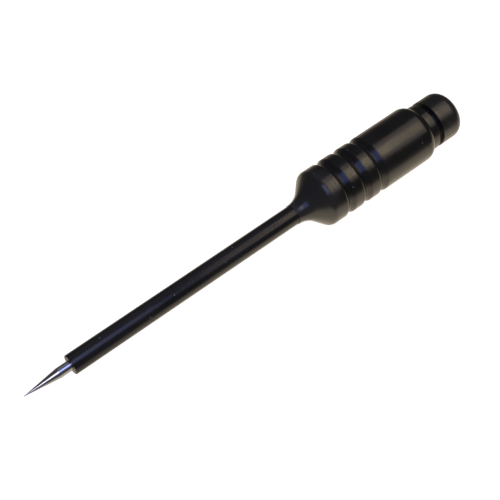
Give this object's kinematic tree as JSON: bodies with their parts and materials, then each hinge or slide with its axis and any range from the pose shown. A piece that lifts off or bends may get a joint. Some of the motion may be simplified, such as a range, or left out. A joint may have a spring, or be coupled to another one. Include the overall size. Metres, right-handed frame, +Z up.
{
  "type": "needle test probe",
  "caption": "Slim hand-held probe with a needle point, a long insulating sleeve, a round grip with finger grooves and a rear socket for a 4 mm plug.",
  "frame": {"origin": "centre of the plug socket's mouth, on the probe's axis", "axes": "+X along the axis to the needle's point, +Z up; the probe is round, so Y and Z are alike"},
  "size_m": [0.1038, 0.012, 0.012],
  "materials": {
    "steel": "ground and polished stainless steel",
    "sleeve": "smooth black insulating plastic, semi-gloss",
    "grip": "injection-moulded black plastic, satin gloss",
    "plated_brass": "turned brass, nickel plated",
    "bush": "injection-moulded black plastic, satin gloss"
  },
  "bodies": {
    "root": {"needle": "steel", "shaft_sleeve": "sleeve", "grip": "grip", "plug_socket": "plated_brass", "end_bush": "bush"}
  },
  "joints": []
}
